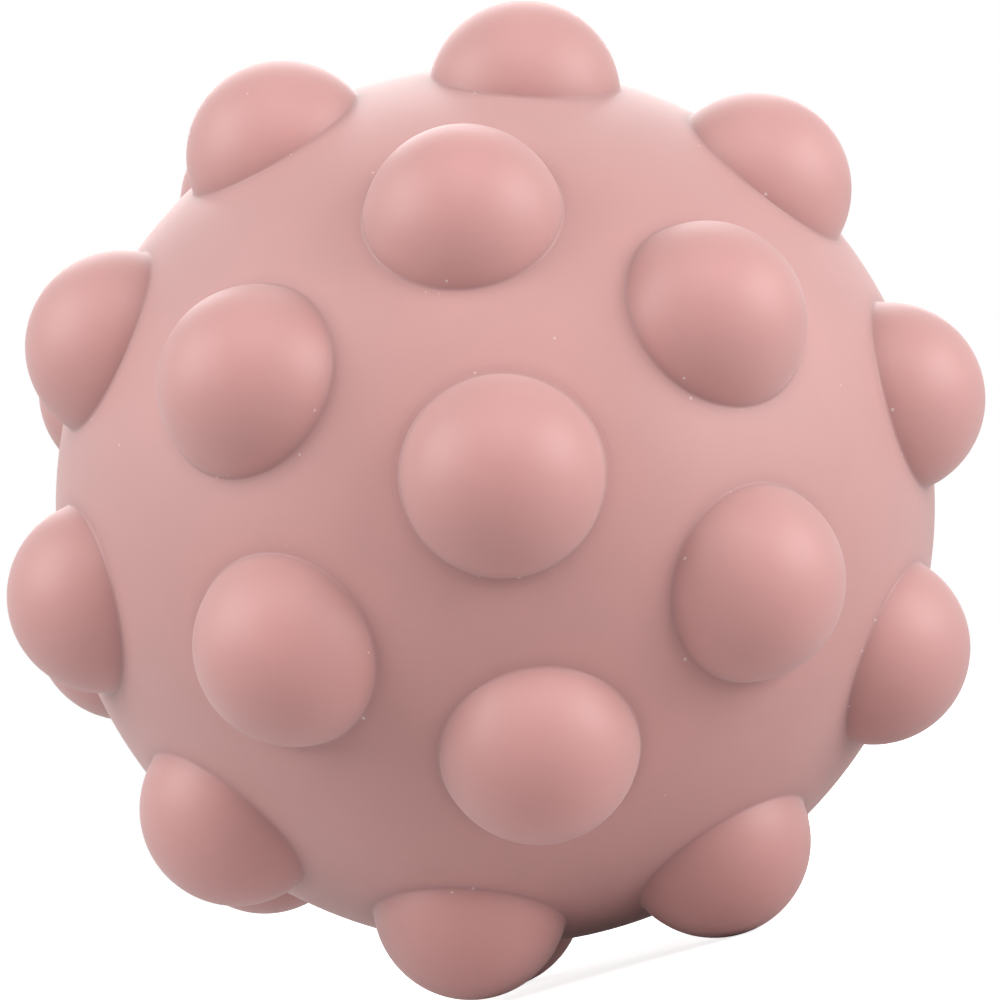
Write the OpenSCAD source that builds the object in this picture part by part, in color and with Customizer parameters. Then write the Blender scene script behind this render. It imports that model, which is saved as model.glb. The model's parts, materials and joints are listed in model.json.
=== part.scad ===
// Soft sensory ball: two moulded half shells bonded at a stepped seam, with
// thirty-four hollow domes. The crown of each dome is pressed in along its own
// radius and the thin collar around it rolls with it.
//
// Frame: the origin is the centre of the ball, +Z is up, the axis through the
// two pole domes is Y and the front half looks towards -Y. The ball lies on two
// outer domes of each half, so the lowest gap between domes is straight below.

/* [Ball] */
// Diameter of the skin between the domes
ball_d = 69; // [66:0.5:78]
// Thickness of the skin
wall_t = 2.4; // [1.8:0.1:3]

/* [Domes] */
// Diameter of a dome at its base
dome_d = 14.7; // [13.5:0.1:16]
// Height of a dome over its base circle
dome_h = 6.3; // [5.5:0.1:7]
// Diameter of the crown that is pressed in
crown_d = 10.8; // [9:0.2:11]
// Thickness of a crown at its middle
crown_t = 1.8; // [1.2:0.1:2.4]
// Thickness of the collar that rolls around a crown
collar_t = 0.9; // [0.6:0.1:1.2]
// Radius of the fillet between a dome and the skin
fillet_r = 0.3; // [0.2:0.1:1.2]

/* [Layout] */
// Angle from a pole to the inner ring of domes
inner_angle = 36; // [34:0.5:37]
// Angle from a pole to the outer ring of domes
outer_angle = 72; // [70:0.5:73]
// Angle of the first dome of each ring around the pole axis
start_angle = -36; // [-72:12:72]
// Turn of the rear half against the front half
turn_angle = 3.4; // [0:0.2:6]

/* [Seam] */
// Length of the tongue of the front half inside the rear half
tongue_l = 1.6; // [1:0.1:2.4]
// Thickness of the adhesive bead
bead_t = 0.2; // [0.1:0.05:0.3]

/* [Vent] */
// Diameter of the air hole in the rear half
vent_d = 1.8; // [1:0.2:2.4]
// Angle from the rear pole to the air hole
vent_angle = 20; // [18:0.5:21.5]

/* [Hidden] */
// Domes in a ring, which the node names follow
inner_count = 6;
outer_count = 10;
// Clearance between a crown and its collar, where the model parts one moulded skin
crown_gap = 0.2;
// Depth of a collar's foot in the skin, under the base circle
foot_d = 1.2;
// Depth that the fillet bites into the dome and the skin, so that they cross and don't just touch
fillet_bite = 0.02;
// Overrun of every cut
cut = 1;
// Roundness of what is drawn on screen
$fn = 72;

ball_r = ball_d / 2;
inner_r = ball_r - wall_t;
dome_r = dome_d / 2;
crown_r = crown_d / 2;

// The dome is a cap of one sphere: its radius, the height of its base circle and of its centre
base_y = sqrt(ball_r^2 - dome_r^2);
cap_r = (dome_r^2 + dome_h^2) / (2 * dome_h);
cap_y = base_y + dome_h - cap_r;
tip_y = cap_y + cap_r;

// Inside of the collar, which is also the widest place of the hole under it
collar_r = cap_r - collar_t;
foot_y = base_y - foot_d;

// Inside of the crown: a flatter sphere that leaves the crown as thin as the collar at its rim
rim_y = cap_y + sqrt(collar_r^2 - crown_r^2);
under_y = tip_y - crown_t;
under_sag = under_y - rim_y;
under_r = (crown_r^2 + under_sag^2) / (2 * under_sag);

// Centre of the fillet's circle, which touches the dome outside and the skin outside
fillet_y = ((ball_r + fillet_r)^2 - (cap_r + fillet_r)^2 + cap_y^2) / (2 * cap_y);
fillet_x = sqrt((ball_r + fillet_r)^2 - fillet_y^2);

// Height at which the cutters of the holes start, under the skin
under_skin = sqrt(inner_r^2 - collar_r^2) - cut;

// Distance from the centre that is clear of every dome
reach = tip_y + cut;

// The seam's step lies at the middle of the skin
lap_r = ball_r - wall_t / 2;

HALVES = ["front", "rear"];

// Turn of a half about the pole axis
function turn_of(half) = start_angle + (half == "front" ? -turn_angle : turn_angle) / 2;

// Angle from the front pole to a place that is so far from the half's own pole
function from_front(half, angle) = half == "front" ? angle : 180 - angle;

// Places of the domes of one half: angle from its pole, angle around the pole axis
function dome_places() = concat(
    [[0, 0]],
    [for (i = [0:inner_count - 1]) [inner_angle, i * 360 / inner_count]],
    [for (i = [0:outer_count - 1]) [outer_angle, i * 360 / outer_count]]
);

// Point on the edge of the fillet's circle, on the way to a centre on the dome's axis
function touch(centre_y) =
    let (away = [fillet_x, fillet_y - centre_y])
    [fillet_x, fillet_y] - away * fillet_r / norm(away);

// Stands the pole axis, drawn along Z, along Y with the front pole towards -Y
module along_y() {
    rotate([90, 0, 0]) children();
}

// Sets a shape drawn on the Z axis at a place of a half
module at_place(half, angle, around) {
    along_y()
        rotate([0, 0, turn_of(half) + around])
            rotate([0, from_front(half, angle), 0])
                children();
}

// Band of the half profile between two distances from the axis, from one height to another
module band(from_x, to_x, from_y, to_y) {
    translate([from_x, from_y]) square([to_x - from_x, to_y - from_y]);
}

module disc_at(x, y, r) {
    translate([x, y]) circle(r = r);
}

// Round cutter through the skin, which starts just under it, clear of the cutters beside it
module through_skin(r) {
    translate([0, 0, under_skin]) cylinder(r = r, h = ball_r + cut - under_skin);
}

// Half section of the skin of the whole ball
module skin_section() {
    intersection() {
        difference() {
            circle(r = ball_r);
            circle(r = inner_r);
        }
        band(0, ball_r, -ball_r, ball_r);
    }
}

// Half section of one collar: the rolling wall, its foot in the skin and the fillet outside,
// hollowed by the dome's inner sphere and, from its widest place down, by the hole in the skin
module collar_section() {
    difference() {
        union() {
            intersection() {
                disc_at(0, cap_y, cap_r);
                band(crown_r + crown_gap, dome_r + cut, base_y, tip_y);
            }
            band(crown_r + crown_gap, dome_r, foot_y, base_y);
            polygon([
                touch(cap_y),
                touch(0),
                [dome_r, base_y - foot_d / 2],
                [dome_r - collar_t / 2, base_y - foot_d / 2],
                [dome_r - collar_t / 2, base_y]
            ]);
        }
        disc_at(0, cap_y, collar_r);
        band(0, collar_r, foot_y - cut, max(cap_y, foot_y));
        disc_at(fillet_x, fillet_y, fillet_r + fillet_bite);
    }
}

// Half section of one crown
module crown_section() {
    intersection() {
        difference() {
            disc_at(0, cap_y, cap_r);
            disc_at(0, under_y - under_r, under_r);
        }
        band(0, crown_r, rim_y - cut, tip_y + cut);
    }
}

// The skin of the ball with one half's domes: opened under every dome, a collar at each opening.
// The rear half has the air hole too, midway between two domes of its inner ring.
module domed_skin(half) {
    difference() {
        along_y() rotate_extrude() skin_section();
        for (place = dome_places())
            at_place(half, place[0], place[1]) through_skin(collar_r);
        if (half == "rear")
            at_place(half, vent_angle, 180 / inner_count) through_skin(vent_d / 2);
    }
    for (place = dome_places())
        at_place(half, place[0], place[1])
            rotate_extrude() collar_section();
}

// One half shell, trimmed to the bands that its children draw on its own side of the seam
module moulded_half(half) {
    intersection() {
        domed_skin(half);
        along_y() rotate_extrude() union() children();
    }
}

// Front half: its rim carries the tongue, on the inside
module front_shell() {
    color([0.85, 0.64, 0.62])
        moulded_half("front") {
            band(0, reach, bead_t / 2, reach);
            band(0, lap_r - bead_t / 2, -tongue_l, bead_t / 2);
        }
}

// Rear half: its rim is cut back inside to take the tongue
module rear_shell() {
    color([0.85, 0.64, 0.62])
        moulded_half("rear") {
            band(0, reach, -reach, -tongue_l - bead_t);
            band(lap_r + bead_t / 2, reach, -tongue_l - bead_t, -bead_t / 2);
        }
}

// Adhesive that fills the step between the two rims
module seam_bead() {
    color([0.80, 0.58, 0.56])
        along_y() rotate_extrude() intersection() {
            skin_section();
            union() {
                band(lap_r - bead_t / 2, ball_r, -bead_t / 2, bead_t / 2);
                band(lap_r - bead_t / 2, lap_r + bead_t / 2, -tongue_l - bead_t, bead_t / 2);
                band(0, lap_r + bead_t / 2, -tongue_l - bead_t, -tongue_l);
            }
        }
}

// Crown of a dome of one half
module crown(half, angle, around) {
    at_place(half, angle, around) rotate_extrude() crown_section();
}

module pole_dome(half) {
    color([0.88, 0.67, 0.65]) crown(half, 0, 0);
}

module inner_dome(half, i) {
    color([0.88, 0.67, 0.65]) crown(half, inner_angle, (i - 1) * 360 / inner_count);
}

module outer_dome(half, i) {
    color([0.88, 0.67, 0.65]) crown(half, outer_angle, (i - 1) * 360 / outer_count);
}

front_shell();
rear_shell();
seam_bead();
for (half = HALVES) {
    pole_dome(half);
    for (i = [1:inner_count])
        inner_dome(half, i);
    for (i = [1:outer_count])
        outer_dome(half, i);
}
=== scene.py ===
import json
import math

import bmesh
import bpy
from mathutils import Matrix, Vector
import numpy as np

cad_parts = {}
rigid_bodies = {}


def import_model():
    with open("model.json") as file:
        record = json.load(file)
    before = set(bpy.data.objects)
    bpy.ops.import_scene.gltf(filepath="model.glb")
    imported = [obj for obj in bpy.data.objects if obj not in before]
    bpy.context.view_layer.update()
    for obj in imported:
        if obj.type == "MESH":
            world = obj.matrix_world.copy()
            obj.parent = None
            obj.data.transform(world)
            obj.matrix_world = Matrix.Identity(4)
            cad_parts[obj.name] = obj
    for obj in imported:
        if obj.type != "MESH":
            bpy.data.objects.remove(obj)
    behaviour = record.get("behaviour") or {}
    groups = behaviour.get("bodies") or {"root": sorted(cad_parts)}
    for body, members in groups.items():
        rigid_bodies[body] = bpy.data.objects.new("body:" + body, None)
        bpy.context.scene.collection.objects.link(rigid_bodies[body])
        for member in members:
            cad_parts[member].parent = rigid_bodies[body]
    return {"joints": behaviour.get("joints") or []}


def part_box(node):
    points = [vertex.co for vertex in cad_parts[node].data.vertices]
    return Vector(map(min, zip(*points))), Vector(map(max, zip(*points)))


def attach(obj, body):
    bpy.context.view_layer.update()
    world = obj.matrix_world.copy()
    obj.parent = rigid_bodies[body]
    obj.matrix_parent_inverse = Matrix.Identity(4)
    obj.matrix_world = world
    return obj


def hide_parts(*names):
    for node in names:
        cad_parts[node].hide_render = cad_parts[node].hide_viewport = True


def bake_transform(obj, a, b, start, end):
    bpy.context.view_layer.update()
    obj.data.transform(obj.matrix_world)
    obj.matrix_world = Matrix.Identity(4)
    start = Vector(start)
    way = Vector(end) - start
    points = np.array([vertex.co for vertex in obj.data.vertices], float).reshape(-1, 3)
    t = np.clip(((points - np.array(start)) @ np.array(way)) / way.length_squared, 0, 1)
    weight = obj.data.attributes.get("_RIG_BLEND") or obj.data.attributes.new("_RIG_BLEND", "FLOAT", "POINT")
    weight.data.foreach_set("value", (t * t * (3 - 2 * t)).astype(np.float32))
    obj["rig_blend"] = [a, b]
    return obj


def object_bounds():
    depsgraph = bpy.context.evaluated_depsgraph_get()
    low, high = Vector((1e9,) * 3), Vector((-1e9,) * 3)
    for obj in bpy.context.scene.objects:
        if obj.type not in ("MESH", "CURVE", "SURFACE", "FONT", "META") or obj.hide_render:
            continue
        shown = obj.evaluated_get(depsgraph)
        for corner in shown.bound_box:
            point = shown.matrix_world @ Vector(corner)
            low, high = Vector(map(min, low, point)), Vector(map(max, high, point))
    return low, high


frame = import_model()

CAD_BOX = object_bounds()

bl_info = {
    "name": "Soft Sensory Ball",
    "version": (1, 0, 0),
    "blender": (4, 5, 0),
    "location": "View3D > Sidebar > Ball",
    "description": "Builds the skins, press-in domes, glued seam and stage of a silicone ball",
    "category": "Object",
}

MM = 0.001
BALL_BODY = "ball"

# The press joint of each dome's crown: its axis is the dome's own radius, pointing inwards
PRESS = {joint["child"]: joint for joint in frame["joints"]}

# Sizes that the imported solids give, measured from the ball's centre: the skin, a dome's tip, and
# the base circle that a dome turns inside out through
SKIN_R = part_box("seam_bead")[1].x
TIP_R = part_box("rear_pole_dome")[1].y
DOME_H = PRESS["rear_pole_dome"]["range_m"][1] / 2
BASE_AT = TIP_R - DOME_H
DOME_R = math.sqrt(SKIN_R**2 - BASE_AT**2)
FLOOR_Z = CAD_BOX[0].z

# The dome is a cap of one sphere
CAP_R = (DOME_R**2 + DOME_H**2) / (2 * DOME_H)
CAP_AT = TIP_R - CAP_R

# The side of the seam that each half lies on, along Y
SIDE = {"front": -1, "rear": 1}

# Half of the gap between the two rims, which the adhesive fills
RIM_Y = -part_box("seam_bead")[0].y

# Facets round a dome, round the skin and round the bead of adhesive
DOME_SEGMENTS = 72
SKIN_SEGMENTS = 288
BEAD_SEGMENTS = 12

# Steps along the profile of a dome
CAP_STEPS = 24
FILLET_STEPS = 8
FLANGE_STEPS = 2

# Turns, in degrees, at which the rounding of a rim gets its rings of vertices
RIM_TURNS = (30, 60, 90)

# The last rings before an edge lie this close together, so that both sides of a joint shade alike
TIGHT = 0.05 * MM

# Vertices closer than this are merged, and those closer than this to a plane cut move onto it
MERGE = 0.001 * MM
SLIVER = 0.02 * MM

# Width of skin between a hole's plane cut and its exact edge. The air hole is so small that the
# cut needs a wider one to be round.
HOLE_RING = 0.2 * MM
VENT_RING = 1.5 * MM

# Cloudy patches: how many to a metre, and the range of the noise over which the colour drifts
SILICONE_CLOUDS = 60.0
ADHESIVE_CLOUDS = 400.0
CLOUD_RANGE = (0.3, 0.7)

# The cloudy patches of the adhesive are this share of its colour
ADHESIVE_DEEP = 0.9

# Reach of a dome's crease from its foot, over which the closeness to the foot is stored; it places the
# painted shade and the dust. Painted shade darkens the crease: a wide shade and a fine dark line, each
# a power of the closeness to the foot, times an amount.
CREASE = 1.6 * MM
CREASE_PAINTED_SHADE = (2.0, 0.4)
CREASE_PAINTED_LINE = (12.0, 0.3)

# How far the colour turns to the painted crown light at a dome's top, and to the dust's under a speck
CROWN_PAINTED_LIGHT = 0.5
DUST_TINT = 0.5

# Dust: cells to a metre that may hold a speck, the closeness to a dome's foot over which specks
# gather, the share of cells with one on open skin and in a crease, and the least and greatest
# radius of a speck and its soft edge as shares of a cell
DUST_CELLS = 1100.0
DUST_GATHERS = (0.3, 0.9)
DUST_SHARE = (0.006, 0.35)
DUST_RADIUS = (0.07, 0.18)
DUST_EDGE = 0.08

# Matte grain: how many grains to a metre, and the strength and height of its relief
GRAIN = 3500.0
RELIEF_STRENGTH = 0.12
RELIEF_HEIGHT = 0.03 * MM

# Gloss of each material
SILICONE_GLOSS = {
    "Roughness": 0.72,
    "IOR": 1.45,
    "Specular IOR Level": 1.0,
    "Coat Weight": 0.9,
    "Coat Roughness": 0.46,
    "Coat IOR": 1.45,
    "Sheen Weight": 0.25,
    "Sheen Roughness": 0.78,
}
ADHESIVE_GLOSS = {"Roughness": 0.4}
FLOOR_GLOSS = {"Roughness": 0.9}

# Floor: half its width, the distances from the ball's centre at which its shadow is full and gone,
# and how brightly it glows to the camera at each
FLOOR_HALF = 3
SHADOW_REACH = (60 * MM, 160 * MM)
SHADOW_GLOW = (0.82, 1.0)

# Each softbox's angle off the camera's axis and its angle round that axis, in degrees
SOFTBOXES = {"left": (74, 154), "right": (70, 27), "top": (52, 90), "back": (150, 100)}

WHITE = (1, 1, 1, 1)
SENSOR_MM = 36
CLIP_START = 10 * MM


class BallShape(bpy.types.PropertyGroup):
    """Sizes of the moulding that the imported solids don't give."""

    skin_wall: bpy.props.FloatProperty(
        name="Skin Wall", description="Thickness of the skin between the domes",
        default=2.4 * MM, min=1.8 * MM, max=3 * MM, unit="LENGTH")
    dome_wall: bpy.props.FloatProperty(
        name="Dome Wall", description="Thickness of a dome at its crown",
        default=1.6 * MM, min=0.8 * MM, max=2.4 * MM, unit="LENGTH")
    collar_share: bpy.props.FloatProperty(
        name="Collar Share", description="Thickness of the rolling collar, as a share of a crown's",
        default=0.55, min=0.3, max=1, subtype="FACTOR")
    fillet: bpy.props.FloatProperty(
        name="Fillet", description="Radius of the fillet at the foot of a dome",
        default=0.3 * MM, min=0.2 * MM, max=1.2 * MM, unit="LENGTH")
    flange: bpy.props.FloatProperty(
        name="Flange", description="Width of skin that belongs to a dome beyond its fillet",
        default=0.4 * MM, min=0.2 * MM, max=0.6 * MM, unit="LENGTH")
    rim_round: bpy.props.FloatProperty(
        name="Rim Rounding", description="Radius on the rim of a half at the seam",
        default=0.08 * MM, min=0.02 * MM, max=0.2 * MM, unit="LENGTH")
    bead_sink: bpy.props.FloatProperty(
        name="Bead Sink", description="Depth of the adhesive's surface under the skin",
        default=0.03 * MM, min=0, max=0.1 * MM, unit="LENGTH")
    vent_width: bpy.props.FloatProperty(
        name="Vent Diameter", description="Diameter of the air hole in the rear half",
        default=1.8 * MM, min=1 * MM, max=2.4 * MM, unit="LENGTH")
    vent_angle: bpy.props.FloatProperty(
        name="Vent Angle", description="Angle from the rear pole to the air hole",
        default=math.radians(20), min=math.radians(18), max=math.radians(21.5), subtype="ANGLE")


class BallColours(bpy.types.PropertyGroup):
    """Colours of the silicone, the adhesive and the stage, and of the painted light and shade on the domes.
    """

    skin: bpy.props.FloatVectorProperty(
        name="Silicone", description="Colour of the moulded silicone",
        default=(0.58, 0.248, 0.229), min=0, max=1, subtype="COLOR")
    skin_deep: bpy.props.FloatVectorProperty(
        name="Silicone, Deep", description="Colour of the cloudy patches in the silicone",
        default=(0.525, 0.227, 0.209), min=0, max=1, subtype="COLOR")
    # Painted light: the brighter, deeper pink painted on a dome's top, standing in for how the light falls
    # there
    painted_crown_light: bpy.props.FloatVectorProperty(
        name="Crown", description="Colour that the silicone turns to towards the top of a dome",
        default=(0.64, 0.244, 0.228), min=0, max=1, subtype="COLOR")
    # Painted shade: the darker colour laid into the crease round each dome's foot
    painted_crease_shade: bpy.props.FloatVectorProperty(
        name="Crease", description="Colour of the silicone in the crease round a dome",
        default=(0.3, 0.12, 0.12), min=0, max=1, subtype="COLOR")
    dust: bpy.props.FloatVectorProperty(
        name="Dust", description="Colour of the dust that clings to the skin",
        default=(0.85, 0.80, 0.78), min=0, max=1, subtype="COLOR")
    adhesive: bpy.props.FloatVectorProperty(
        name="Adhesive", description="Colour of the cured bead in the seam",
        default=(0.48, 0.22, 0.205), min=0, max=1, subtype="COLOR")
    floor: bpy.props.FloatVectorProperty(
        name="Floor", description="Colour of the floor",
        default=(0.7, 0.7, 0.7), min=0, max=1, subtype="COLOR")


class BallStage(bpy.types.PropertyGroup):
    """Camera and lights, in the photograph's view."""

    distance: bpy.props.FloatProperty(
        name="Camera Distance", description="From the ball's centre",
        default=359.4 * MM, min=100 * MM, unit="LENGTH")
    lens: bpy.props.FloatProperty(
        name="Lens", description="Focal length on a 36 mm sensor",
        default=164.1, min=50, max=400, unit="CAMERA")
    lift: bpy.props.FloatProperty(
        name="Pole Lift", description="How far the front pole is seen above the middle",
        default=math.radians(3.531), subtype="ANGLE")
    swing: bpy.props.FloatProperty(
        name="Pole Swing", description="How far the front pole is seen to the right of the middle",
        default=math.radians(0.887), subtype="ANGLE")
    roll: bpy.props.FloatProperty(
        name="Camera Roll", description="Turn of the camera about its own axis",
        default=math.radians(15.83), subtype="ANGLE")
    shift: bpy.props.FloatVectorProperty(
        name="Lens Shift", description="Shift that frames the ball as the photograph does",
        default=(0.0047, 0.0053), size=2)
    light_distance: bpy.props.FloatProperty(
        name="Light Distance", description="From the ball's centre to each softbox",
        default=600 * MM, min=200 * MM, unit="LENGTH")
    light_width: bpy.props.FloatProperty(
        name="Softbox Width", description="Width of each square softbox",
        default=460 * MM, min=50 * MM, unit="LENGTH")
    left_power: bpy.props.FloatProperty(
        name="Left Power", description="Power of the left softbox",
        default=2.6, min=0, unit="POWER")
    right_power: bpy.props.FloatProperty(
        name="Right Power", description="Power of the right softbox",
        default=3.28, min=0, unit="POWER")
    top_power: bpy.props.FloatProperty(
        name="Top Power", description="Power of the top softbox",
        default=1.2, min=0, unit="POWER")
    back_power: bpy.props.FloatProperty(
        name="Back Power", description="Power of the softbox behind the ball",
        default=1.6, min=0, unit="POWER")
    ambient: bpy.props.FloatProperty(
        name="Ambient", description="Strength of the white surroundings on matte surfaces",
        default=0.02, min=0, max=1, subtype="FACTOR")


def toward(direction):
    """Matrix that stands a shape drawn round local Z along a direction from the ball's centre."""
    return direction.to_track_quat("Z", "Y").to_matrix().to_4x4()


def out_of(node):
    """Outward direction of a dome."""
    return -Vector(PRESS[node]["axis"]).normalized()


def domes_of(half):
    """Names of the domes of one half."""
    return [name for name in PRESS if name.startswith(half)]


def vent_direction(shape):
    """Direction of the air hole: near the rear pole, midway between two inner domes."""
    pole = out_of("rear_pole_dome")
    between = out_of("rear_inner_dome_1") + out_of("rear_inner_dome_2")
    across = (between - between.dot(pole) * pole).normalized()
    return pole * math.cos(shape.vent_angle) + across * math.sin(shape.vent_angle)


def verts_in(items):
    """Vertices among some parts of a mesh."""
    return [item for item in items if isinstance(item, bmesh.types.BMVert)]


def grow(bm, edges):
    """Extrudes a loop of open edges in place; gives the new vertices and the new open edges."""
    grown = bmesh.ops.extrude_edge_only(bm, edges=edges)["geom"]
    edges = [item for item in grown if isinstance(item, bmesh.types.BMEdge) and item.is_boundary]
    return verts_in(grown), edges


def spun_arc(bm, vertex, centre, angle, steps):
    """Spins a vertex in the local XZ plane about a centre on it and gives the last vertex."""
    spun = bmesh.ops.spin(
        bm, geom=[vertex], cent=centre, axis=(0, 1, 0), angle=angle, steps=steps,
        use_duplicate=False)
    return verts_in(spun["geom_last"])[0]


def spin_round(bm, axis, steps):
    """Spins a whole section once round an axis through the origin and closes the surface."""
    bmesh.ops.spin(
        bm, geom=bm.verts[:] + bm.edges[:], cent=(0, 0, 0), axis=axis, angle=2 * math.pi,
        steps=steps, use_merge=True, use_duplicate=False)
    bmesh.ops.remove_doubles(bm, verts=bm.verts[:], dist=MERGE)
    bmesh.ops.recalc_face_normals(bm, faces=bm.faces[:])


def fillet_centre(shape):
    """Centre of the fillet's circle in a dome's half plane, outside the cap and the skin."""
    far = SKIN_R + shape.fillet
    z = (far**2 - (CAP_R + shape.fillet)**2 + CAP_AT**2) / (2 * CAP_AT)
    return Vector((math.sqrt(far**2 - z**2), 0, z))


def dome_edge_angle(shape):
    """Angle from a dome's axis to the edge where its skin meets the skin of the half."""
    centre = fillet_centre(shape)
    return math.atan2(centre.x, centre.z) + shape.flange / SKIN_R


def dome_profile(bm, shape):
    """Half section of a dome's outside, from its tip over cap and fillet to its edge."""
    centre = fillet_centre(shape)
    cap_angle = math.atan2(centre.x, centre.z - CAP_AT)
    skin_angle = math.atan2(centre.x, centre.z)
    vertex = bm.verts.new((0, 0, TIP_R))
    vertex = spun_arc(bm, vertex, (0, 0, CAP_AT), cap_angle, CAP_STEPS)
    vertex = spun_arc(bm, vertex, centre, skin_angle - cap_angle, FILLET_STEPS)
    vertex = spun_arc(bm, vertex, (0, 0, 0), (shape.flange - TIGHT) / SKIN_R, FLANGE_STEPS)
    spun_arc(bm, vertex, (0, 0, 0), TIGHT / SKIN_R, 1)


def sharpen_boundary(bm):
    """Marks open edges sharp, so that the shading of the outside stops there."""
    for edge in bm.edges:
        if edge.is_boundary:
            edge.smooth = False


def mark_domes(bm, directions):
    """Stores how close each vertex is to the foot of a dome, and how high it is on the dome."""
    for name in ("foot", "rise"):
        bm.verts.layers.float.new(name)
    foot, rise = (bm.verts.layers.float[name] for name in ("foot", "rise"))
    for vert in bm.verts:
        nearest = math.inf
        highest = 0.0
        for direction in directions:
            along = vert.co.dot(direction)
            across = (vert.co - along * direction).length
            nearest = min(nearest, math.hypot(across - DOME_R, along - BASE_AT))
            highest = max(highest, (along - BASE_AT) / DOME_H)
        vert[foot] = max(0.0, 1 - nearest / CREASE)
        vert[rise] = min(1.0, highest)


def smooth_mesh(bm, name):
    """Finishes a bmesh as an object in the scene, at the origin."""
    for face in bm.faces:
        face.smooth = True
    mesh = bpy.data.meshes.new(name)
    bm.to_mesh(mesh)
    bm.free()
    piece = bpy.data.objects.new(name, mesh)
    bpy.context.scene.collection.objects.link(piece)
    return piece


def settle_ring(verts, place, angle):
    """Moves vertices to an angle from a place's axis, on the skin."""
    for vert in verts:
        around = place.inverted() @ vert.co
        around.z = 0
        around = around.normalized() * SKIN_R * math.sin(angle)
        around.z = SKIN_R * math.cos(angle)
        vert.co = place @ around


def open_hole(bm, direction, edge_angle, spread):
    """Cuts a round hole in the skin with a plane, and adds finer rings down to its exact edge."""
    place = toward(direction)
    ring_angle = edge_angle + spread
    cut = bmesh.ops.bisect_plane(
        bm, geom=bm.verts[:] + bm.edges[:] + bm.faces[:], dist=SLIVER, clear_outer=True,
        plane_co=direction * SKIN_R * math.cos(ring_angle), plane_no=direction)["geom_cut"]
    settle_ring(verts_in(cut), place, ring_angle)
    edges = [item for item in cut if isinstance(item, bmesh.types.BMEdge)]
    for angle in (edge_angle + TIGHT / SKIN_R, edge_angle):
        verts, edges = grow(bm, edges)
        settle_ring(verts, place, angle)


def settle_rim(verts, y, radius):
    """Puts the vertices of a rim on a circle round the pole axis."""
    for vert in verts:
        flat = Vector((vert.co.x, 0, vert.co.z)).normalized() * radius
        vert.co = Vector((flat.x, y, flat.z))


def round_rim(bm, rim, edges, side, round_r):
    """Rounds the rim of a half inwards, in rings from the skin to the gap at the seam."""
    settle_rim(rim, side * (RIM_Y + round_r), SKIN_R)
    for turn in RIM_TURNS:
        rim, edges = grow(bm, edges)
        angle = math.radians(turn)
        settle_rim(rim, side * (RIM_Y + round_r * (1 - math.sin(angle))),
                   SKIN_R - round_r * (1 - math.cos(angle)))


def moulded_skin(half, shape):
    """Skin of one half with its wall, opened at every dome, with a rounded rim at the seam."""
    bm = bmesh.new()
    bmesh.ops.create_uvsphere(
        bm, u_segments=SKIN_SEGMENTS, v_segments=SKIN_SEGMENTS // 2, radius=SKIN_R,
        matrix=Matrix.Rotation(math.radians(90), 4, "X"))
    side = SIDE[half]
    other = [vert for vert in bm.verts if vert.co.y * side < -TIGHT]
    bmesh.ops.delete(bm, geom=other, context="VERTS")
    rim = [vert for vert in bm.verts if vert.is_boundary]
    rim_edges = [edge for edge in bm.edges if edge.is_boundary]

    feet = [out_of(name) for name in domes_of(half)]
    for direction in feet:
        open_hole(bm, direction, dome_edge_angle(shape), HOLE_RING / SKIN_R)
    if half == "rear":
        vent_edge = math.asin(shape.vent_width / 2 / SKIN_R)
        open_hole(bm, vent_direction(shape), vent_edge, VENT_RING / SKIN_R)
    round_rim(bm, rim, rim_edges, side, shape.rim_round)
    mark_domes(bm, feet)
    sharpen_boundary(bm)

    inner = bmesh.ops.extrude_face_region(bm, geom=bm.faces[:], use_keep_orig=True)["geom"]
    bmesh.ops.scale(
        bm, vec=Vector((1, 1, 1)) * (1 - shape.skin_wall / SKIN_R), verts=verts_in(inner))
    bmesh.ops.recalc_face_normals(bm, faces=bm.faces[:])
    return smooth_mesh(bm, half + "_skin")


def dome_skin(name, shape):
    """Skin of one dome. Its wall is a modifier, so that it stays as thick when it is pressed in."""
    bm = bmesh.new()
    dome_profile(bm, shape)
    spin_round(bm, (0, 0, 1), DOME_SEGMENTS)
    top = max(bm.faces, key=lambda face: face.calc_center_median().z)
    if top.normal.z < 0:
        bmesh.ops.reverse_faces(bm, faces=bm.faces[:])
    sharpen_boundary(bm)
    mark_domes(bm, [Vector((0, 0, 1))])

    wall_share = bm.verts.layers.deform.verify()
    rise = bm.verts.layers.float["rise"]
    for vert in bm.verts:
        vert[wall_share][0] = shape.collar_share + (1 - shape.collar_share) * vert[rise]
    bmesh.ops.transform(bm, matrix=toward(out_of(name)), verts=bm.verts[:])
    piece = smooth_mesh(bm, name + "_skin")
    piece.vertex_groups.new(name="wall")

    wall = piece.modifiers.new("Wall", "SOLIDIFY")
    wall.thickness = shape.dome_wall
    wall.offset = -1
    wall.vertex_group = "wall"
    return piece


def bead_ring(shape):
    """Adhesive between the two rims: a round bead whose top lies just under the skin."""
    bm = bmesh.new()
    bead_r = RIM_Y + shape.rim_round
    bmesh.ops.create_circle(
        bm, segments=BEAD_SEGMENTS, radius=bead_r,
        matrix=Matrix.Translation((SKIN_R - shape.bead_sink - bead_r, 0, 0)))
    spin_round(bm, (0, 1, 0), SKIN_SEGMENTS)
    return smooth_mesh(bm, "seam_adhesive")


def new_material(name, gloss):
    """New material with the sockets of its gloss set; gives it, its node tree and its shader."""
    material = bpy.data.materials.new(name)
    material.use_nodes = True
    shader = material.node_tree.nodes["Principled BSDF"]
    for socket, value in gloss.items():
        shader.inputs[socket].default_value = value
    return material, material.node_tree, shader


def add_node(tree, kind, **inputs):
    """Adds a shader node and sets its sockets by name."""
    node = tree.nodes.new(kind)
    for socket, value in inputs.items():
        node.inputs[socket.replace("_", " ")].default_value = value
    return node


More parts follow.
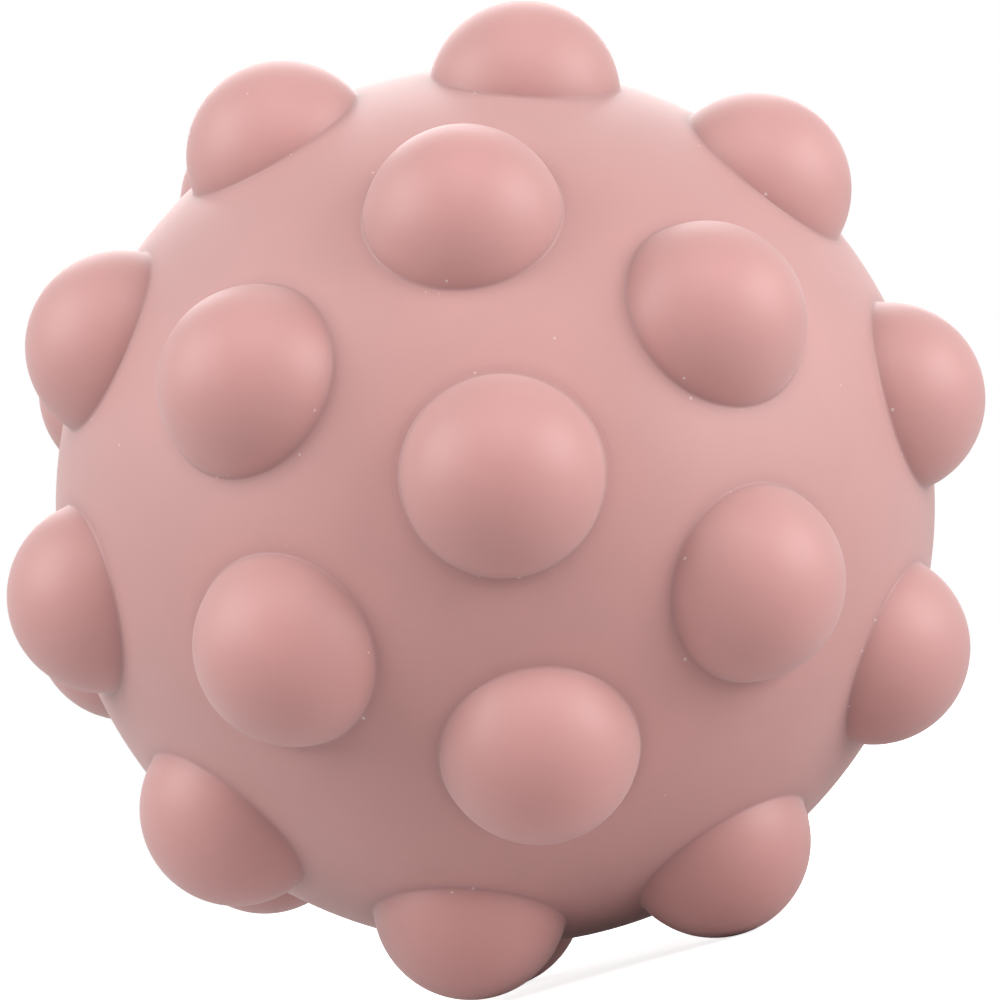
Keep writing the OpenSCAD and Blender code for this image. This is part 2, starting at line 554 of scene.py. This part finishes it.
def add_texture(tree, kind, **inputs):
    """Adds a texture node that is placed by the object's own coordinates."""
    node = add_node(tree, kind, **inputs)
    place = tree.nodes.new("ShaderNodeTexCoord")
    tree.links.new(place.outputs["Object"], node.inputs["Vector"])
    return node


def calculate(tree, operation, first, second):
    """Math node on two values, each an output or a number; gives its output."""
    node = tree.nodes.new("ShaderNodeMath")
    node.operation = operation
    for socket, value in zip(node.inputs, (first, second)):
        if isinstance(value, bpy.types.NodeSocket):
            tree.links.new(value, socket)
        else:
            socket.default_value = value
    return node.outputs[0]


def remap(tree, value, before, after):
    """Map Range node from one pair of limits to another, held to them; gives its output."""
    node = add_node(tree, "ShaderNodeMapRange", From_Min=before[0], From_Max=before[1],
                    To_Min=after[0], To_Max=after[1])
    tree.links.new(value, node.inputs["Value"])
    return node.outputs["Result"]


def stored(tree, name):
    """Value stored on the vertices under a name; gives its output."""
    node = tree.nodes.new("ShaderNodeAttribute")
    node.attribute_name = name
    return node.outputs["Fac"]


def tinted(tree, base, colour, amount):
    """Mixes a colour into an output by an amount; gives the mixed output."""
    node = tree.nodes.new("ShaderNodeMix")
    node.data_type = "RGBA"
    below, above = (socket for socket in node.inputs if socket.type == "RGBA")
    tree.links.new(base, below)
    above.default_value = (*colour, 1)
    tree.links.new(amount, node.inputs["Factor"])
    return next(socket for socket in node.outputs if socket.type == "RGBA")


def cloudy(tree, scale, low, high):
    """Colour that drifts between two in soft patches of a scale per metre; gives its output."""
    cloud = add_texture(tree, "ShaderNodeTexNoise", Scale=scale, Detail=3.0, Roughness=0.6)
    tint = tree.nodes.new("ShaderNodeValToRGB")
    for stop, position, colour in zip(tint.color_ramp.elements, CLOUD_RANGE, (low, high)):
        stop.position = position
        stop.color = (*colour, 1)
    tree.links.new(cloud.outputs["Fac"], tint.inputs["Fac"])
    return tint.outputs["Color"]


def painted_crease_shade_part(tree, foot, power, amount):
    """One part of the painted shade in a crease: a power of the closeness to the foot, times an amount."""
    return calculate(tree, "MULTIPLY", calculate(tree, "POWER", foot, power), amount)


def dust_amount(tree, foot):
    """Specks of dust, a few everywhere and more in the crease round a dome; gives their cover."""
    cells = add_texture(tree, "ShaderNodeTexVoronoi", Scale=DUST_CELLS, Randomness=1.0)
    draw = tree.nodes.new("ShaderNodeSeparateColor")
    tree.links.new(cells.outputs["Color"], draw.inputs["Color"])
    chance = remap(tree, foot, DUST_GATHERS, DUST_SHARE)
    picked = calculate(tree, "LESS_THAN", draw.outputs["Red"], chance)
    radius = remap(tree, draw.outputs["Green"], (0, 1), DUST_RADIUS)
    inside = calculate(tree, "SUBTRACT", radius, cells.outputs["Distance"])
    return calculate(tree, "MULTIPLY", picked, remap(tree, inside, (0, DUST_EDGE), (0, 1)))


def silicone(colours):
    """Matte moulded silicone: cloudy colour, painted shade in the creases and painted light on the domes'
    tops, a fine matte grain, and dust.
    """
    material = bpy.data.materials.get("silicone_skin")
    if material:
        return material
    material, tree, shader = new_material("silicone_skin", SILICONE_GLOSS)

    foot = stored(tree, "foot")
    # Painted light: the colour turns brighter and deeper pink towards a dome's top
    painted_crown_light = calculate(tree, "MULTIPLY", stored(tree, "rise"), CROWN_PAINTED_LIGHT)
    # Painted shade: the crease round each dome's foot is darkened
    painted_crease_shade = calculate(tree, "ADD", painted_crease_shade_part(tree, foot, *CREASE_PAINTED_SHADE),
                       painted_crease_shade_part(tree, foot, *CREASE_PAINTED_LINE))
    dust = dust_amount(tree, foot)
    colour = cloudy(tree, SILICONE_CLOUDS, colours.skin_deep, colours.skin)
    # Painted light laid on the tops of the domes
    colour = tinted(tree, colour, colours.painted_crown_light, painted_crown_light)
    # Painted shade laid into the creases round the domes
    colour = tinted(tree, colour, colours.painted_crease_shade, painted_crease_shade)
    colour = tinted(tree, colour, colours.dust, calculate(tree, "MULTIPLY", dust, DUST_TINT))
    tree.links.new(colour, shader.inputs["Base Color"])

    grain = add_texture(tree, "ShaderNodeTexNoise", Scale=GRAIN, Detail=2.0, Roughness=0.7)
    height = calculate(tree, "ADD", grain.outputs["Fac"], dust)
    bump = add_node(tree, "ShaderNodeBump", Strength=RELIEF_STRENGTH, Distance=RELIEF_HEIGHT)
    tree.links.new(height, bump.inputs["Height"])
    tree.links.new(bump.outputs["Normal"], shader.inputs["Normal"])
    return material


def adhesive(colours):
    """Cured adhesive, a shade deeper and glossier than the skin."""
    material, tree, shader = new_material("cured_adhesive", ADHESIVE_GLOSS)
    deep = [ADHESIVE_DEEP * part for part in colours.adhesive]
    colour = cloudy(tree, ADHESIVE_CLOUDS, deep, colours.adhesive)
    tree.links.new(colour, shader.inputs["Base Color"])
    return material


def floor_material(colours):
    """Matte floor that looks white to the camera, apart from a soft shadow under the ball."""
    material, tree, shader = new_material("plain_floor", FLOOR_GLOSS)
    shader.inputs["Base Color"].default_value = (*colours.floor, 1)
    shader.inputs["Emission Color"].default_value = WHITE
    place = tree.nodes.new("ShaderNodeTexCoord")
    away = tree.nodes.new("ShaderNodeVectorMath")
    away.operation = "LENGTH"
    tree.links.new(place.outputs["Object"], away.inputs[0])
    glow = remap(tree, away.outputs["Value"], SHADOW_REACH, SHADOW_GLOW)
    path = tree.nodes.new("ShaderNodeLightPath")
    glow = calculate(tree, "MULTIPLY", path.outputs["Is Camera Ray"], glow)
    tree.links.new(glow, shader.inputs["Emission Strength"])
    return material


class BALL_OT_skin(bpy.types.Operator):
    """Model the moulded skin of one half of the ball"""

    bl_idname = "ball.skin"
    bl_label = "Half Skin"

    half: bpy.props.EnumProperty(
        name="Half", description="Which half of the ball to model",
        items=[("front", "Front", "The half that looks along -Y"),
               ("rear", "Rear", "The half with the air hole")])

    def execute(self, context):
        scene = context.scene
        piece = moulded_skin(self.half, scene.ball_shape)
        piece.data.materials.append(silicone(scene.ball_colours))
        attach(piece, BALL_BODY)
        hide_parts(self.half + "_shell")
        return {"FINISHED"}


class BALL_OT_domes(bpy.types.Operator):
    """Model the skins of the domes, which turn inside out when they are pressed"""

    bl_idname = "ball.domes"
    bl_label = "Dome Skins"

    def execute(self, context):
        scene = context.scene
        for name, joint in PRESS.items():
            piece = dome_skin(name, scene.ball_shape)
            piece.data.materials.append(silicone(scene.ball_colours))
            out = out_of(name)
            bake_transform(piece, joint["parent"], joint["child"], start=out * BASE_AT, end=out * TIP_R)
            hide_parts(name)
        return {"FINISHED"}


class BALL_OT_seam(bpy.types.Operator):
    """Model the bead of adhesive that joins the two halves"""

    bl_idname = "ball.seam"
    bl_label = "Seam Adhesive"

    def execute(self, context):
        scene = context.scene
        piece = bead_ring(scene.ball_shape)
        piece.data.materials.append(adhesive(scene.ball_colours))
        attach(piece, BALL_BODY)
        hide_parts("seam_bead")
        return {"FINISHED"}


def white_surroundings(scene):
    """World that is white to the camera and in reflections, and far dimmer on matte surfaces."""
    world = bpy.data.worlds.new("white_surroundings")
    scene.world = world
    world.use_nodes = True
    tree = world.node_tree
    tree.nodes.clear()
    path = tree.nodes.new("ShaderNodeLightPath")
    seen = calculate(tree, "MAXIMUM", path.outputs["Is Camera Ray"], path.outputs["Is Glossy Ray"])
    seen = calculate(tree, "MAXIMUM", seen, path.outputs["Is Transmission Ray"])
    dim = add_node(tree, "ShaderNodeBackground", Color=WHITE, Strength=scene.ball_stage.ambient)
    white = add_node(tree, "ShaderNodeBackground", Color=WHITE, Strength=1.0)
    mix = tree.nodes.new("ShaderNodeMixShader")
    tree.links.new(seen, mix.inputs["Fac"])
    tree.links.new(dim.outputs[0], mix.inputs[1])
    tree.links.new(white.outputs[0], mix.inputs[2])
    out = tree.nodes.new("ShaderNodeOutputWorld")
    tree.links.new(mix.outputs[0], out.inputs["Surface"])


def camera_turn(stage):
    """Turn of the camera: it looks along +Y, past the front pole, rolled about its own axis."""
    return (Matrix.Rotation(math.radians(90), 3, "X") @ Matrix.Rotation(-stage.roll, 3, "Z")
            @ Matrix.Rotation(stage.lift, 3, "X") @ Matrix.Rotation(-stage.swing, 3, "Y"))


def place_camera(scene, stage):
    """Camera in the photograph's view, framed with the lens shift."""
    data = bpy.data.cameras.new("camera")
    data.lens = stage.lens
    data.sensor_width = SENSOR_MM
    data.shift_x, data.shift_y = stage.shift
    data.clip_start = CLIP_START
    camera = bpy.data.objects.new("camera", data)
    scene.collection.objects.link(camera)
    turn = camera_turn(stage)
    camera.location = turn @ Vector((0, 0, stage.distance))
    camera.rotation_mode = "QUATERNION"
    camera.rotation_quaternion = turn.to_quaternion()
    scene.camera = camera


def softbox(scene, stage, side, power):
    """Square softbox on one side of the ball, aimed at its centre."""
    data = bpy.data.lights.new(side + "_softbox", "AREA")
    data.shape = "SQUARE"
    data.size = stage.light_width
    data.energy = power
    light = bpy.data.objects.new(side + "_softbox", data)
    scene.collection.objects.link(light)
    from_axis, around = (math.radians(angle) for angle in SOFTBOXES[side])
    off = Matrix.Rotation(around, 3, "Z") @ Matrix.Rotation(from_axis, 3, "Y")
    place = camera_turn(stage) @ off @ Vector((0, 0, stage.light_distance))
    light.location = place
    light.rotation_mode = "QUATERNION"
    light.rotation_quaternion = (-place).to_track_quat("-Z", "Y")


class BALL_OT_stage(bpy.types.Operator):
    """Set the camera, the soft lights, the floor and the white surroundings"""

    bl_idname = "ball.stage"
    bl_label = "Stage"

    def execute(self, context):
        scene = context.scene
        stage = scene.ball_stage
        place_camera(scene, stage)
        softbox(scene, stage, "left", stage.left_power)
        softbox(scene, stage, "right", stage.right_power)
        softbox(scene, stage, "top", stage.top_power)
        softbox(scene, stage, "back", stage.back_power)

        bm = bmesh.new()
        bmesh.ops.create_grid(bm, x_segments=1, y_segments=1, size=FLOOR_HALF)
        bmesh.ops.translate(bm, vec=(0, 0, FLOOR_Z), verts=bm.verts[:])
        floor = smooth_mesh(bm, "floor")
        floor.data.materials.append(floor_material(scene.ball_colours))

        white_surroundings(scene)
        scene.view_settings.view_transform = "Standard"
        return {"FINISHED"}


class BALL_PT_panel(bpy.types.Panel):
    """Sizes, colours and pieces of the ball"""

    bl_idname = "BALL_PT_panel"
    bl_label = "Sensory Ball"
    bl_space_type = "VIEW_3D"
    bl_region_type = "UI"
    bl_category = "Ball"

    def draw(self, context):
        scene = context.scene
        for group in (scene.ball_shape, scene.ball_colours, scene.ball_stage):
            box = self.layout.box()
            for name in type(group).__annotations__:
                box.prop(group, name)
        for half in SIDE:
            self.layout.operator(BALL_OT_skin.bl_idname, text=half.title() + " Skin").half = half
        for operator in (BALL_OT_domes, BALL_OT_seam, BALL_OT_stage):
            self.layout.operator(operator.bl_idname)


CLASSES = (BallShape, BallColours, BallStage,
           BALL_OT_skin, BALL_OT_domes, BALL_OT_seam, BALL_OT_stage, BALL_PT_panel)


def register():
    for cls in CLASSES:
        bpy.utils.register_class(cls)
    bpy.types.Scene.ball_shape = bpy.props.PointerProperty(type=BallShape)
    bpy.types.Scene.ball_colours = bpy.props.PointerProperty(type=BallColours)
    bpy.types.Scene.ball_stage = bpy.props.PointerProperty(type=BallStage)


def unregister():
    del bpy.types.Scene.ball_stage
    del bpy.types.Scene.ball_colours
    del bpy.types.Scene.ball_shape
    for cls in reversed(CLASSES):
        bpy.utils.unregister_class(cls)


def main():
    register()
    for half in SIDE:
        bpy.ops.ball.skin(half=half)
    bpy.ops.ball.domes()
    bpy.ops.ball.seam()
    bpy.ops.ball.stage()


if __name__ == "__main__":
    main()
